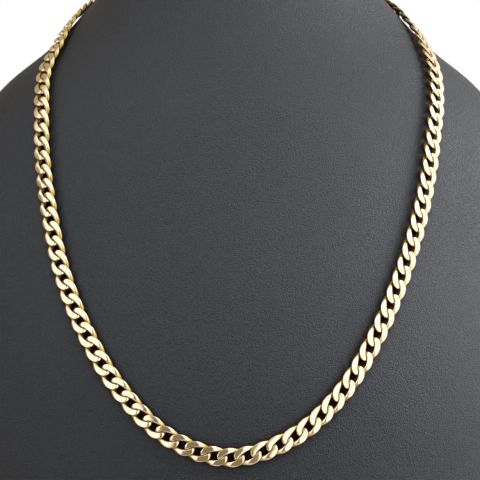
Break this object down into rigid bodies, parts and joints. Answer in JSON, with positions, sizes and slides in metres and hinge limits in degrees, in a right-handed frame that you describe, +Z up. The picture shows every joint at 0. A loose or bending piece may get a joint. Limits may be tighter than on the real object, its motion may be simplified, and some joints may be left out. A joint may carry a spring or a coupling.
{
  "type": "flat curb chain necklace on a neck bust",
  "caption": "Flat-filed gold curb chain with a clasp behind the neck, laid round a plain black leatherette neck bust.",
  "frame": {"origin": "middle of the neck bust's flat base", "axes": "+Z up, -Y out of the chest towards the viewer, +X to the viewer's right"},
  "size_m": [0.2184, 0.1516, 0.3],
  "materials": {
    "leatherette": "fine pebble grain, satin",
    "gold": "polished, filed flat faces"
  },
  "bodies": {
    "root": {"neck_bust": "leatherette", "chain_left": "gold", "chain_right": "gold", "clasp": "gold"}
  },
  "joints": []
}
